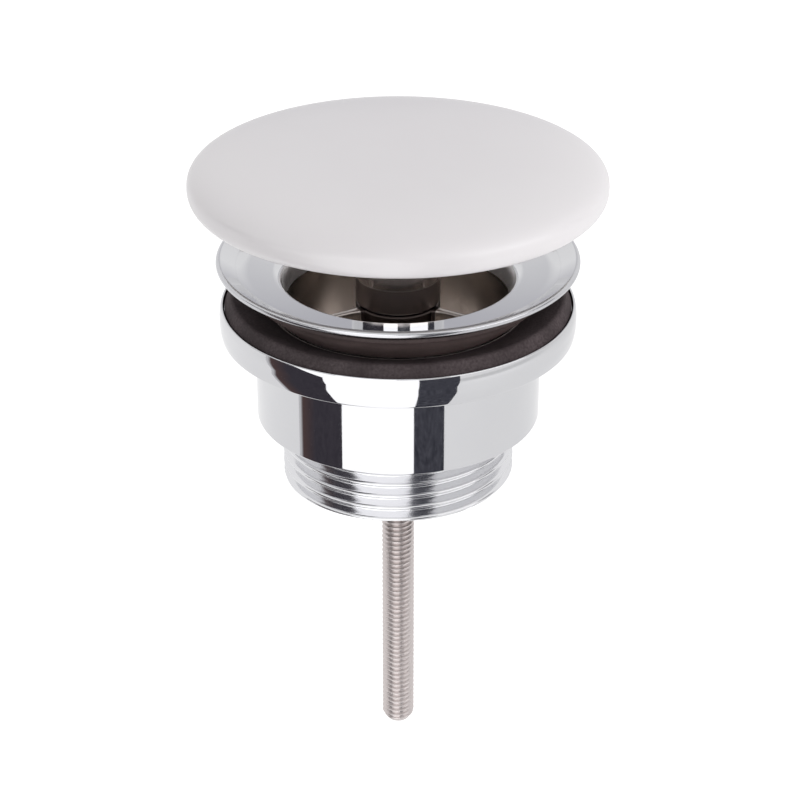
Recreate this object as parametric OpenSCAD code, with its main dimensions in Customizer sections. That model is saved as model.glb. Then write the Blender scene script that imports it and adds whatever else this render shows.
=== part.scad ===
// Free-flow basin waste: a ceramic cover cap on a post, a dished flange, two seals,
// and a body with a threaded tail that a central rod pulls up against the basin.
// Millimetres, +Z up. The origin is on the axis, in the plane where the flange's rim
// rests on the basin.

/* [Cap] */
// Widest diameter of the ceramic cap
cap_d = 73; // [68:0.5:80]
// Height of the dome above the cap's widest line
cap_dome_h = 5.7; // [4:0.1:9]
// Squareness of the dome: 2 is an ellipse, more is flatter on top
cap_squareness = 3.1; // [2:0.1:4]
// Radius of the cap's lower edge, from the widest line to the foot
cap_edge_r = 2.6; // [1.5:0.1:3.5]
// Width of the foot ring under the cap
cap_foot_w = 3.4; // [2:0.1:6]
// Depth of the hollow inside the foot ring
cap_hollow_h = 2.4; // [1:0.1:3]
// Clear height between the flange's rim and the cap's foot
inlet_h = 10.9; // [8:0.1:16]

/* [Cap socket] */
// Diameter of the disc that is bonded into the cap
disc_d = 24; // [20:0.5:30]
// Thickness of the bonded disc
disc_t = 1.6; // [1.2:0.1:2.2]
// Length of the skirt under the disc
skirt_h = 7.5; // [7:0.1:10]
// Radius of the skirt's corner under the disc
skirt_root_r = 0.5; // [0.2:0.1:1]
// Radial clearance between the skirt and the post's spigot
socket_clearance = 0.15; // [0.1:0.01:0.2]
// Clearance between the spigot's end and the roof of the socket
spigot_end_gap = 0.3; // [0.1:0.1:0.6]
// Depth to which the socket's bore enters the disc
roof_recess = 0.4; // [0.2:0.1:0.6]

/* [Post] */
// Diameter of the post
post_d = 15; // [14:0.5:18]
// Diameter of the spigot that carries the cap
spigot_d = 12; // [11.4:0.1:12.4]
// Radius of the spigot's upper edge
spigot_edge_r = 0.5; // [0.2:0.1:0.8]
// Width across the flats of the key socket
key_af = 6; // [5:0.5:6.5]
// Depth of the key socket
key_h = 6; // [4:0.5:6.5]
// Corner radius at the foot and shoulder of the post
post_edge_r = 0.4; // [0.2:0.1:0.6]

/* [O-rings] */
// Thickness of the O-ring cord
cord_t = 1.5; // [1.2:0.1:1.6]
// Spare width of each groove
groove_play = 0.3; // [0.2:0.05:0.5]
// Radial gap between a fitted O-ring and the socket's bore
ring_gap = 0.03; // [0.02:0.01:0.06]
// Height of the lower groove above the spigot's root
lower_ring_h = 1.9; // [1.6:0.1:2.2]
// Distance between the two grooves
ring_spacing = 3.4; // [2.6:0.1:3.6]

/* [Flange] */
// Outside diameter of the flange
flange_d = 64; // [60:0.5:70]
// Thickness of the flange's rim
rim_t = 1.2; // [1:0.1:1.6]
// Width of the raised land round the rim
land_w = 1.3; // [1.2:0.1:2.2]
// Radius of the edge between the land and the bowl
land_edge_r = 1.5; // [0.2:0.1:1.6]
// Width of the bowl's steep side, inwards from the land
side_w = 3.1; // [2.4:0.1:5]
// Rise of the bowl's flatter part, from the lip to the side
bowl_rise = 0.9; // [0.3:0.1:1.4]
// Radius of the curve between the side and the flatter part
bowl_r = 6; // [2:0.5:8]
// Diameter of the mouth, at its lip
mouth_d = 43; // [41.5:0.5:46]
// Depth of the lip under the rim's top
dish_h = 3.1; // [2:0.1:4]
// Radius of the lip
lip_r = 1.2; // [0.6:0.1:1.6]
// Depth of the funnel under the lip
funnel_h = 5.3; // [4:0.1:7]
// Radius of the throat, where the funnel meets the neck
throat_edge_r = 0.4; // [0.2:0.1:2]
// Bore of the neck
neck_bore_d = 39.6; // [36:0.1:40]
// Wall of the neck
neck_wall = 1.1; // [0.9:0.1:1.8]
// Length of the neck under the rim
neck_h = 19.5; // [16:0.5:21]
// Radius of the edges at the neck's end
neck_edge_r = 0.4; // [0.2:0.1:0.45]

/* [Spokes of the flange] */
// Diameter of the flange's hub
hub_d = 15; // [14.5:0.5:20]
// Height of the flange's hub
hub_h = 6; // [5:0.5:7]
// Depth of the hub's top under the throat
hub_drop = 0.35; // [0:0.05:1.5]
// Thickness of each spoke
spoke_t = 1.2; // [1:0.1:3]
// Height of each spoke
spoke_h = 5; // [3:0.5:6]
// Clearance round the rod in the hub and the washer
rod_clearance = 0.4; // [0.3:0.05:0.6]

/* [Thrust washer] */
// Diameter of the washer under the post
washer_d = 12; // [10:0.5:13]
// Thickness of the washer
washer_t = 1; // [0.8:0.1:1.5]
// Height by which the washer stands out of the hub
washer_stand = 0.2; // [0.1:0.05:0.4]

/* [Flange seal] */
// Outside diameter of the flange's seal
flange_seal_d = 56.8; // [54:0.2:58]
// Depth of the seal's nose under the flange's throat
nose_h = 1; // [0.5:0.1:3]
// Outside diameter of the seal's nose
nose_d = 44.2; // [43.6:0.1:44.6]
// Radius of the nose's edge
nose_edge_r = 0.5; // [0.1:0.1:0.6]
// Thickness of the seal's outer edge
flange_seal_t = 0.8; // [0.8:0.1:2]
// Radius of the seal's lower outer edge
flange_seal_edge_r = 0.5; // [0.2:0.1:0.9]
// Gap between a seal, disc or washer and the part that it is fitted to
seat_gap = 0.05; // [0.03:0.01:0.1]

/* [Basin seal] */
// Bore of the foam ring
basin_seal_bore_d = 44; // [43.4:0.2:46]
// Diameter of the ring's crest
crest_d = 59; // [56:0.2:60]
// Radius of the crest
crest_r = 0.7; // [0.3:0.1:1]
// Height of the ring at its bore
bore_side_h = 3.4; // [2.5:0.1:4.5]
// Radius of the edge at the bore
bore_edge_r = 0.3; // [0.1:0.1:0.8]
// Height of the ring at its crest
crest_h = 6.4; // [5.2:0.1:8]
// Height of the ring at its outer wall
wall_side_h = 4.1; // [3.2:0.1:5]
// Free space between the two seals at rest
seal_gap = 0.3; // [0.3:0.05:0.6]
// Free space between the foam ring and the cup's wall
cup_gap = 0.25; // [0.2:0.05:0.4]

/* [Waste body] */
// Outside diameter of the cup
cup_d = 63.4; // [62.4:0.2:70]
// Wall of the cup
cup_wall = 0.75; // [0.7:0.05:1.2]
// Height of the cup's wall above its floor
cup_h = 4.3; // [3.5:0.1:5.5]
// Thickness of the cup's floor
cup_floor_t = 1.2; // [0.8:0.1:1.6]
// Radius of the cup's outer lower edge
cup_edge_r = 0.4; // [0.2:0.1:0.9]
// Height over which the cup's wall leans in, at its rim and at its foot
cup_lean_h = 1.6; // [1.4:0.1:1.8]
// Inset of the wall at its rim and at its foot
cup_lean_w = 0.35; // [0.1:0.05:0.4]
// Radius of the bends where the wall starts to lean
cup_lean_r = 6.5; // [1:0.5:8]
// Radius of the corner between the cup and the barrel
cup_root_r = 0.4; // [0.2:0.1:1.5]
// Outside diameter of the barrel
barrel_d = 50.9; // [49:0.1:54]
// Height of the barrel under the cup
barrel_h = 16; // [14:0.1:24]
// Wall of the barrel
barrel_wall = 1.9; // [1.5:0.1:2.2]
// Thickness of the barrel's floor
barrel_floor_t = 1.8; // [1.4:0.1:2.5]
// Corner radius at the foot of the barrel
barrel_edge_r = 0.3; // [0.2:0.1:1.4]
// Corner radius inside the foot of the barrel
barrel_floor_r = 0.8; // [0.2:0.1:2]
// Radius of the edge where the floor drops into the tail
drain_edge_r = 0.5; // [0.2:0.1:1]

/* [Tail] */
// Outside diameter of the tail's pipe thread
tail_d = 41.91; // [41.5:0.01:44]
// Length of the thread on the tail
tail_thread_h = 11.1; // [9:0.1:20]
// Diameter of the relief above the thread
relief_d = 40.2; // [39:0.1:41]
// Height of the relief above the thread
relief_h = 1.5; // [1:0.1:2.5]
// Bore of the tail
tail_bore_d = 36; // [34:0.5:37]
// Chamfer at the tail's end
tail_chamfer = 0.7; // [0.4:0.1:1]

/* [Threaded hub in the tail] */
// Diameter of the hub that the rod screws into
nut_hub_d = 12; // [11:0.5:15]
// Height of the threaded hub
nut_hub_h = 9; // [7:0.5:10]
// Height of the hub's end above the tail's end
nut_hub_inset = 2.6; // [1:0.1:4]
// Thickness of each spoke in the tail
tail_spoke_t = 2.4; // [2:0.1:3.2]
// Height of each spoke in the tail
tail_spoke_h = 6; // [4:0.5:6.5]
// Depth of the spokes' tops under the hub's top
tail_spoke_drop = 0.5; // [0:0.1:1]

/* [Rod] */
// Diameter of the rod
rod_d = 6; // [5:0.5:6.5]
// Length of the rod
rod_h = 100; // [80:1:140]
// Length of the rod inside the post
rod_grip = 10.65; // [8:0.05:11]
// Chamfer length at the rod's lower end
rod_chamfer = 1.3; // [0.5:0.1:1.5]
// Diameter of the flat on the rod's lower end
rod_tip_d = 4.2; // [3:0.1:4.8]
// Chamfer at the rod's upper end
rod_top_chamfer = 0.6; // [0.3:0.1:1]
// Radial clearance in the threaded bores
thread_clearance = 0.05; // [0.03:0.01:0.08]

/* [Hidden] */
$fn = 96;

spoke_count = 3;
first_spoke = 90;
// How far a cut runs past the face that it opens
over = 1;
// The least gap or flat between two curved faces
sliver = 0.01;

// The bowl: where its side starts and ends, and both slopes as height over radius
land_x = flange_d / 2 - land_w;
bowl_x = land_x - side_w;
bowl_z = rim_t - dish_h + bowl_rise;
bowl_slope = bowl_rise / (bowl_x - mouth_d / 2);
side_slope = (rim_t - bowl_z) / side_w;

// Levels of the cap and its socket, from the rim's plane up
cap_foot_z = rim_t + inlet_h;
cap_wide_z = cap_foot_z + cap_edge_r;
hollow_z = cap_foot_z + cap_hollow_h;
disc_top_z = hollow_z + disc_t;
shoulder_z = hollow_z - skirt_h;
roof_z = hollow_z + roof_recess;
spigot_top_z = roof_z - spigot_end_gap;
lower_ring_z = shoulder_z + lower_ring_h;
upper_ring_z = lower_ring_z + ring_spacing;
socket_bore_r = spigot_d / 2 + socket_clearance;
ring_x = socket_bore_r - ring_gap - cord_t / 2;
groove_r = ring_x - cord_t / 2 - sliver;

// Levels of the flange, its hub and what stands on it
lip_z = rim_t - dish_h;
throat_z = lip_z - funnel_h;
hub_top_z = throat_z - hub_drop;
hub_foot_z = hub_top_z - hub_h;
post_foot_z = hub_top_z + washer_stand;
washer_z = post_foot_z - washer_t;
neck_r = neck_bore_d / 2 + neck_wall;

// Levels of the body, which hangs from the seals
nose_z = throat_z - nose_h;
bore_edge_z = nose_z - seal_gap;
cup_floor_z = bore_edge_z - bore_side_h;
cup_rim_z = cup_floor_z + cup_h;
cup_bottom_z = cup_floor_z - cup_floor_t;
barrel_bottom_z = cup_bottom_z - barrel_h;
barrel_floor_z = barrel_bottom_z + barrel_floor_t;
thread_top_z = barrel_bottom_z - relief_h;
tail_end_z = thread_top_z - tail_thread_h;
nut_hub_z = tail_end_z + nut_hub_inset;
nut_hub_top_z = nut_hub_z + nut_hub_h;

// Levels and bores of the rod
rod_top_z = post_foot_z + rod_grip;
rod_end_z = rod_top_z - rod_h;
rod_bore_r = rod_d / 2 + thread_clearance;
rod_hole_r = rod_d / 2 + rod_clearance;

// A vector of length 1
function unit(v) = v / norm(v);

// An angle brought between -180 and 180 degrees
function wrapped(a) = a - 360 * round(a / 360);

// Points that round the corner b, on the way from a to c, with radius r
function rounded(a, b, c, r, steps = 4) =
    let (u = unit(a - b), v = unit(c - b))
    let (half = acos(u * v) / 2)
    let (centre = b + unit(u + v) * r / sin(half))
    let (first = b + u * r / tan(half) - centre, last = b + v * r / tan(half) - centre)
    let (start = atan2(first.y, first.x))
    let (turn = wrapped(atan2(last.y, last.x) - start))
    [for (i = [0:steps]) let (t = start + turn * i / steps) centre + r * [cos(t), sin(t)]];

// A closed outline through corners [x, y, radius], each rounded by its radius
function outline(corners) =
    let (n = len(corners))
    [for (i = [0:n - 1])
        let (a = corners[(i + n - 1) % n], b = corners[i], c = corners[(i + 1) % n])
        each b.z > 0 ? rounded([a.x, a.y], [b.x, b.y], [c.x, c.y], b.z) : [[b.x, b.y]]];

// Height of the bowl's underside at radius r
function under_bowl(r) =
    r > bowl_x ? -side_slope * (land_x - r) : bowl_z - rim_t - bowl_slope * (bowl_x - r);

// Where a cone that rises beside the funnel from radius r meets the underside of the
// bowl's flatter part, lowered by drop
function root(r, drop) =
    let (flare = (mouth_d - neck_bore_d) / 2 / funnel_h)
    let (under = bowl_z - rim_t - drop)
    let (z = (under + bowl_slope * (r - flare * throat_z - bowl_x)) / (1 - bowl_slope * flare))
    [r + flare * (z - throat_z), z, 0];

// Points of the domed top, from the axis to the widest line
function dome(steps = 28) =
    [for (i = [0:steps])
        let (t = 90 * i / steps)
        [cap_d / 2 * pow(sin(t), 2 / cap_squareness),
         cap_wide_z + cap_dome_h * pow(cos(t), 2 / cap_squareness)]];

// Points of the cap's round edge, from the widest line to the foot
function cap_edge(steps = 6) =
    [for (i = [1:steps])
        let (t = -90 * i / steps)
        [cap_d / 2 - cap_edge_r, cap_wide_z] + cap_edge_r * [cos(t), sin(t)]];

// A solid of revolution with rounded corners
module turned(corners) {
    rotate_extrude() polygon(outline(corners));
}

// A round bar or hole between two levels
module bar(r, z0, z1) {
    translate([0, 0, z0]) cylinder(r = r, h = z1 - z0);
}

// Spokes from the axis to a wall, under one level
module spokes(reach, thickness, top_z, height) {
    for (i = [0:spoke_count - 1])
        rotate(first_spoke + 360 / spoke_count * i)
            translate([0, -thickness / 2, top_z - height]) cube([reach, thickness, height]);
}

// The cover cap, hollowed inside its foot ring and pocketed for the socket's disc
module ceramic_cap() {
    foot_x = cap_d / 2 - cap_edge_r - cap_foot_w;
    pocket_r = disc_d / 2 + seat_gap;
    hollow = [[foot_x, cap_foot_z], [foot_x - cap_hollow_h, hollow_z], [pocket_r, hollow_z],
              [pocket_r, disc_top_z], [0, disc_top_z]];
    color("white") rotate_extrude() polygon(concat(dome(), cap_edge(), hollow));
}

// The socket bonded under the cap, with a skirt that slides over the spigot
module cap_socket() {
    color("gainsboro") turned([
        [0, disc_top_z, 0], [disc_d / 2, disc_top_z, 0], [disc_d / 2, hollow_z, 0],
        [post_d / 2, hollow_z, skirt_root_r], [post_d / 2, shoulder_z, post_edge_r],
        [socket_bore_r, shoulder_z, 0], [socket_bore_r, roof_z, 0], [0, roof_z, 0]]);
}

// An O-ring lying in its groove at one level
module o_ring(z) {
    color("black") rotate_extrude() translate([ring_x, z]) circle(d = cord_t, $fn = 48);
}

module upper_o_ring() {
    o_ring(upper_ring_z);
}

module lower_o_ring() {
    o_ring(lower_ring_z);
}

// The post, with a spigot for the cap, a key socket on top and a blind bore for the rod
module post() {
    groove_h = cord_t + groove_play;
    color("silver") difference() {
        turned([
            [0, post_foot_z, 0], [post_d / 2, post_foot_z, post_edge_r],
            [post_d / 2, shoulder_z, post_edge_r], [spigot_d / 2, shoulder_z, 0],
            [spigot_d / 2, spigot_top_z, spigot_edge_r], [0, spigot_top_z, 0]]);
        for (z = [lower_ring_z, upper_ring_z])
            difference() {
                bar(spigot_d / 2 + over, z - groove_h / 2, z + groove_h / 2);
                bar(groove_r, z - groove_h, z + groove_h);
            }
        translate([0, 0, spigot_top_z - key_h])
            cylinder(d = key_af / cos(30), h = key_h + over, $fn = 6);
        bar(rod_bore_r, post_foot_z - over, rod_top_z);
    }
}

// The washer that the post turns on, let into the hub
module post_washer() {
    color("ivory") difference() {
        bar(washer_d / 2, washer_z, post_foot_z);
        bar(rod_hole_r, washer_z - over, post_foot_z + over);
    }
}

// The dished flange: land, bowl, mouth, funnel and neck, with a hub on three spokes
module flange() {
    edge_r = rim_t / 2 - sliver;
    color("silver") difference() {
        union() {
            turned([
                [flange_d / 2, 0, edge_r], [flange_d / 2, rim_t, edge_r],
                [land_x, rim_t, land_edge_r], [bowl_x, bowl_z, bowl_r],
                [mouth_d / 2, lip_z, lip_r],
                [neck_bore_d / 2, throat_z, throat_edge_r],
                [neck_bore_d / 2, -neck_h, neck_edge_r], [neck_r, -neck_h, neck_edge_r],
                [neck_r, throat_z, 0], root(neck_r, 0), [bowl_x, bowl_z - rim_t, 0],
                [land_x, 0, 0]]);
            bar(hub_d / 2, hub_foot_z, hub_top_z);
            spokes(neck_r - neck_wall / 2, spoke_t, hub_top_z, spoke_h);
        }
        bar(rod_hole_r, hub_foot_z - over, hub_top_z + over);
        bar(washer_d / 2 + seat_gap, washer_z, hub_top_z + over);
    }
}

// The seal under the flange: a thin edge and a cone down to a nose round the neck
module flange_seal() {
    inner_x = neck_r + seat_gap;
    outer_x = flange_seal_d / 2;
    top_z = under_bowl(outer_x) - seat_gap;
    color("#362c2a") turned([
        [inner_x, nose_z, 0], [nose_d / 2, nose_z, nose_edge_r],
        [outer_x, top_z - flange_seal_t, flange_seal_edge_r], [outer_x, top_z, 0],
        each outer_x > bowl_x ? [[bowl_x, under_bowl(bowl_x) - seat_gap, 0]] : [],
        root(inner_x, seat_gap), [inner_x, throat_z, 0]]);
}

// The foam ring in the cup: a funnel on top, a crest, and a flank down to the cup's wall
module basin_seal() {
    wall_x = cup_d / 2 - cup_wall - cup_gap;
    bore_x = basin_seal_bore_d / 2;
    color("#443a3c") turned([
        [bore_x, cup_floor_z, 0], [wall_x, cup_floor_z, 0],
        [wall_x, cup_floor_z + wall_side_h, 0],
        [crest_d / 2, cup_floor_z + crest_h, crest_r],
        [bore_x, cup_floor_z + bore_side_h, bore_edge_r]]);
}

// The body: cup, barrel and threaded tail, with the rod's threaded hub on three spokes
module waste_body() {
    cup_x = cup_d / 2 - cup_wall;
    barrel_x = barrel_d / 2 - barrel_wall;
    lip = (cup_wall - cup_lean_w) / 2 - sliver;
    color("silver") difference() {
        union() {
            turned([
                [cup_x, cup_floor_z, 0], [cup_x, cup_rim_z, lip],
                [cup_d / 2 - cup_lean_w, cup_rim_z, lip],
                [cup_d / 2, cup_rim_z - cup_lean_h, cup_lean_r],
                [cup_d / 2, cup_bottom_z + cup_lean_h, cup_lean_r],
                [cup_d / 2 - cup_lean_w, cup_bottom_z, cup_edge_r],
                [barrel_d / 2, cup_bottom_z, cup_root_r],
                [barrel_d / 2, barrel_bottom_z, barrel_edge_r],
                [relief_d / 2, barrel_bottom_z, 0], [relief_d / 2, thread_top_z, 0],
                [tail_d / 2, thread_top_z, 0], [tail_d / 2, tail_end_z + tail_chamfer, 0],
                [tail_d / 2 - tail_chamfer, tail_end_z, 0], [tail_bore_d / 2, tail_end_z, 0],
                [tail_bore_d / 2, barrel_floor_z, drain_edge_r],
                [barrel_x, barrel_floor_z, barrel_floor_r], [barrel_x, cup_floor_z, 0]]);
            bar(nut_hub_d / 2, nut_hub_z, nut_hub_top_z);
            spokes((tail_bore_d + tail_d) / 4, tail_spoke_t,
                   nut_hub_top_z - tail_spoke_drop, tail_spoke_h);
        }
        bar(rod_bore_r, nut_hub_z - over, nut_hub_top_z + over);
    }
}

// The clamping rod, screwed into the post and through the body's hub
module clamp_rod() {
    color("rosybrown") turned([
        [0, rod_end_z, 0], [rod_tip_d / 2, rod_end_z, 0], [rod_d / 2, rod_end_z + rod_chamfer, 0],
        [rod_d / 2, rod_top_z - rod_top_chamfer, 0],
        [rod_d / 2 - rod_top_chamfer, rod_top_z, 0], [0, rod_top_z, 0]]);
}

ceramic_cap();
cap_socket();
upper_o_ring();
lower_o_ring();
post();
post_washer();
flange();
flange_seal();
basin_seal();
waste_body();
clamp_rod();
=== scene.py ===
"""Looks of a free-flow basin waste: a glazed cap over a dished chrome flange, two seals, a chrome
body with a threaded tail, and a long threaded rod that hangs out of it. Profiles are in
millimetres, in the frame's own axes, and become metres where a mesh is made."""
import math

import bmesh
import bpy
import mathutils
import numpy as np
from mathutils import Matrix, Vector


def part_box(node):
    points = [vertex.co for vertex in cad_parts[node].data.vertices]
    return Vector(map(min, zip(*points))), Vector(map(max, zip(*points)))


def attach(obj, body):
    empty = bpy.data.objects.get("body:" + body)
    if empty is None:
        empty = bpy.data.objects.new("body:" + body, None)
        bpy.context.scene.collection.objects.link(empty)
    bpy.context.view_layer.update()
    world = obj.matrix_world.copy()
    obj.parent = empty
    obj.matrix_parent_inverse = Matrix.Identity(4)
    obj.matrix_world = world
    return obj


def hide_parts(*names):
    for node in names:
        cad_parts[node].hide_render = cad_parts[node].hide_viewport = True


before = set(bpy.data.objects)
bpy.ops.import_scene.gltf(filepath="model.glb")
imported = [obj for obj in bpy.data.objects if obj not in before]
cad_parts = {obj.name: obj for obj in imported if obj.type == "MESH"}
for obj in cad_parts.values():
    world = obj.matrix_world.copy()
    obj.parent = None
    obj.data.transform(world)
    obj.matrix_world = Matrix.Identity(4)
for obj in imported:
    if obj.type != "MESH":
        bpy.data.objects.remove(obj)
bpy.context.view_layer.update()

MM = 0.001
# Points of one mesh that are closer than this, in metres, become one
MERGE = 1e-7
# Columns round a large ring, a small one and the rod; the key socket needs a multiple of six
RING = 288
SMALL_RING = 120
ROD_RING = 60
# Steps of an arc at a corner, and rows of the cap's dome and edge, an O-ring's cord, the cup's face,
# a spoke, and a turn of each thread
ARC_STEPS = 8
DOME_ROWS = 110
EDGE_ROWS = 19
CORD_ROWS = 28
FACE_ROWS = 60
SPOKE_ROWS = 40
SPOKE_SIDES = 48
PIPE_TURN_ROWS = 14
ROD_TURN_ROWS = 10
# Roundings, from none in the drawing, over a turned edge that is only touched, to a cast corner
SHARP = 0
TOUCHED = 0.1
CRISP = 0.15
FINE = 0.2
EASY = 0.3
MILD = 0.4
SOFT = 0.5
# Rounding that an edge has at least, how close to a rounding a flat is held, and how much less than
# half of a face a full rounding takes
BREAK_EDGE = 0.06
HOLD = 0.05
HAIR = 0.01


def levels(node):
    """Widest radius, foot and top of a CAD node, in millimetres."""
    low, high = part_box(node)
    return high.x / MM, low.z / MM, high.z / MM


# Sizes of the frame's nodes
CAP_R, CAP_FOOT, CAP_TOP = levels("ceramic_cap")
DISC_R, SHOULDER, DISC_TOP = levels("cap_socket")
POST_R, POST_FOOT, SPIGOT_TOP = levels("post")
WASHER_R, WASHER_FOOT, _ = levels("post_washer")
FLANGE_R, NECK_END, RIM_TOP = levels("flange")
SEAL_R, NOSE, _ = levels("flange_seal")
FOAM_R, CUP_FLOOR, FOAM_CREST = levels("basin_seal")
CUP_R, TAIL_END, CUP_RIM = levels("waste_body")
ROD_R, ROD_END, ROD_TOP = levels("clamp_rod")

# Sizes inside the nodes, as the CAD part has them: first the gap round a seated piece, and the cap
SEAT_GAP = 0.05
CAP_EDGE_R = 2.6
CAP_SQUARENESS = 3.1
CAP_FOOT_W = 3.4
CAP_HOLLOW = 2.4
HOLLOW_BEND = 1.0
# Socket, post and washer
SOCKET_BORE_R = 6.15
SPIGOT_R = 6.0
SPIGOT_GAP = 0.3
ROD_BORE_R = 3.05
KEY_R = 3.0
KEY_DEPTH = 6.0
# How far the hexagon of the key socket reaches past its radius and its floor
KEY_PAST_R = 0.2
KEY_PAST_FLOOR = 0.1
GROOVE_R = 4.61
GROOVE_W = 1.8
ROD_HOLE_R = 3.4
# Flange. Its land is 0.5 mm narrower than the part has it, with a tighter edge, as the photograph
# shows
LAND_R = 30.7
LAND_TOP_R = 31.2
LAND_EDGE_R = 0.6
BOWL_R = 27.6
BOWL_Z = -1.0
BOWL_BEND = 6.0
UNDER_BOWL_BEND = 2.0
LIP_R = 21.5
LIP_Z = -1.9
# The lip's upper corner lies 0.5 mm further in than the part has it, and the funnel's wall swells a
# little under it
LIP_TOP_R = 21.0
LIP_TOP_Z = -1.97
LIP_BEND = 2.0
FUNNEL_R = 20.2
FUNNEL_Z = -3.7
FUNNEL_BEND = 5.0
THROAT_R = 19.8
THROAT_Z = -7.2
NECK_R = 20.9
HUB_R = 7.5
HUB_TOP = -7.55
HUB_H = 6.0
SPOKE_T = 1.2
SPOKE_H = 5.0
# Seals
NOSE_R = 22.1
SEAL_EDGE_T = 0.8
FOAM_BORE_R = 22.0
FOAM_BORE_H = 3.4
FOAM_CREST_R = 29.5
FOAM_CREST_BEND = 0.7
FOAM_WALL_H = 4.1
# Body. The crown is how far the cup's face falls back at its rim and foot, over a height of its own
# at each. The part has leaning stretches there, and this face a curve
CUP_WALL = 0.75
CUP_BOTTOM = -13.1
CUP_EDGE_R = 0.4
CUP_CROWN = 0.35
CUP_CROWN_FOOT_H = 2.6
CUP_CROWN_RIM_H = 2.0
BARREL_R = 25.45
BARREL_WALL = 1.9
BARREL_FOOT = -29.1
BARREL_EDGE_R = 0.3
BARREL_FLOOR = -27.3
BARREL_FLOOR_BEND = 0.8
RELIEF_R = 20.1
THREAD_TOP = -30.6
THREAD_R = 20.955
TAIL_BORE_R = 18.0
TAIL_CHAMFER = 0.7
NUT_HUB_R = 6.0
NUT_HUB_FOOT = -39.1
NUT_HUB_TOP = -30.1
TAIL_SPOKE_T = 2.4
TAIL_SPOKE_H = 6.0
TAIL_SPOKE_TOP = -30.6
# Pipe thread with 11 turns to the inch: pitch, depth, the share of a turn that its crests are late
# by, how sharply it is cut, and the height over which it runs out at the relief
PIPE_PITCH = 25.4 / 11
PIPE_DEPTH = 1.479
PIPE_LATE = 0.72
PIPE_SHARPNESS = 1.5
PIPE_RUN_OUT = 0.5
# Rod with a coarse M6 thread
ROD_PITCH = 1.0
ROD_DEPTH = 0.6
ROD_SHARPNESS = 1.2
ROD_TIP_R = 2.1
ROD_CHAMFER = 1.3
ROD_TOP_R = ROD_R - ROD_DEPTH - 0.1
ROD_TOP_CHAMFER = 0.6
# Three spokes in the flange and in the tail, the first one at the back. Their ends lie inside the
# hub and the wall. The fillets begin at the hub and a little before the wall, and make the spokes
# thicker by a share that falls off over a reach, up to a limit
SPOKES = 3
FIRST_SPOKE = 90
SPOKE_SQUARENESS = 6
SINK_IN_HUB = 1
SINK_IN_WALL = 0.7
FILLET_LEAD = 0.3
FILLET_SHARE = 0.9
FILLET_REACH = 0.9
FILLET_MOST = 2.2


def unit(vectors):
    """Each vector at length 1."""
    return vectors / np.linalg.norm(vectors, axis=-1, keepdims=True)


def softened(corners, closed=True):
    """The outline through corners (radius, height, rounding). Each corner becomes a circular arc
    that touches both of its sides, with its centre on the bisector at rounding / sin(half angle).
    A point just outside each end of an arc keeps the flat beside it flat when it is shaded: it is
    HOLD away, or a third of the flat where that is less."""
    at = np.array([corner[:2] for corner in corners], float)
    r = np.maximum([corner[2] for corner in corners], BREAK_EDGE)
    back, ahead = np.roll(at, 1, axis=0) - at, np.roll(at, -1, axis=0) - at
    side = np.linalg.norm(ahead, axis=1)
    u, v = unit(back), unit(ahead)
    half = np.arccos(np.clip((u * v).sum(axis=1), -1, 1)) / 2
    reach = r / np.tan(half)
    if not closed:
        reach[[0, -1]] = 0
    hold = np.clip((side - reach - np.roll(reach, -1)) / 3, 0, HOLD)
    centre = at + unit(u + v) * (r / np.sin(half))[:, None]
    first, last = at + u * reach[:, None] - centre, at + v * reach[:, None] - centre
    start = np.arctan2(first[:, 1], first[:, 0])
    turn = (np.arctan2(last[:, 1], last[:, 0]) - start + np.pi) % (2 * np.pi) - np.pi
    t = start[:, None] + turn[:, None] * np.linspace(0, 1, ARC_STEPS + 1)
    arc = centre[:, None] + r[:, None, None] * np.stack([np.cos(t), np.sin(t)], axis=-1)
    lead = at + u * (reach + np.roll(hold, 1))[:, None]
    trail = at + v * (reach + hold)[:, None]
    rows = np.concatenate([lead[:, None], arc, trail[:, None]], axis=1)
    if closed:
        return rows.reshape(-1, 2)
    return np.vstack([at[:1], rows[1:-1].reshape(-1, 2), at[-1:]])


def grid_faces(rows, columns, closed, shift=0):
    """Quads of a grid whose columns close on themselves. The last column joins the first one
    shift rows further on, as the turns of a screw do. A closed grid's last row joins its first."""
    row = np.arange(rows if closed else rows - 1 - shift)[:, None]
    column = np.arange(columns)[None]
    following = (column + 1) % columns
    step = np.where(following == 0, shift, 0)

    def index(r, c):
        return (r % rows) * columns + c

    quads = [index(row, column), index(row + step, following),
             index(row + 1 + step, following), index(row + 1, column)]
    return np.stack(np.broadcast_arrays(*quads), axis=-1).reshape(-1, 4)


def turned(outline, columns=RING, closed=True, stretch=1.0):
    """Surface of revolution: the point at outline position i and angle a is (r cos a, r sin a, z),
    where r is the outline's radius times stretch, a number or a value for each row and column."""
    a = np.arange(columns) * (2 * np.pi / columns)
    r = outline[:, :1] * np.broadcast_to(stretch, (len(outline), columns))
    z = np.broadcast_to(outline[:, 1:], r.shape)
    points = np.stack([r * np.cos(a), r * np.sin(a), z], axis=-1).reshape(-1, 3)
    return points, grid_faces(len(outline), columns, closed)


def screwed(radius, pitch, low, high, columns, per_turn):
    """Helical surface: row i and column j lie at angle 2 pi j / columns and at height
    low + pitch (i / per_turn + j / columns - 1), held between low and high. The radius there is
    radius(phase, height), where phase counts turns of the thread, so the rows follow the helix."""
    rows = per_turn * (math.ceil((high - low) / pitch) + 2) + 1
    i = np.arange(rows)[:, None]
    j = np.arange(columns)[None]
    z = np.clip(low + pitch * (i / per_turn + j / columns - 1), low, high)
    a = np.broadcast_to(j * (2 * np.pi / columns), z.shape)
    r = radius((z - low) / pitch - j / columns, z)
    points = np.stack([r * np.cos(a), r * np.sin(a), z], axis=-1).reshape(-1, 3)
    return points, grid_faces(rows, columns, False, shift=per_turn)


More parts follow.
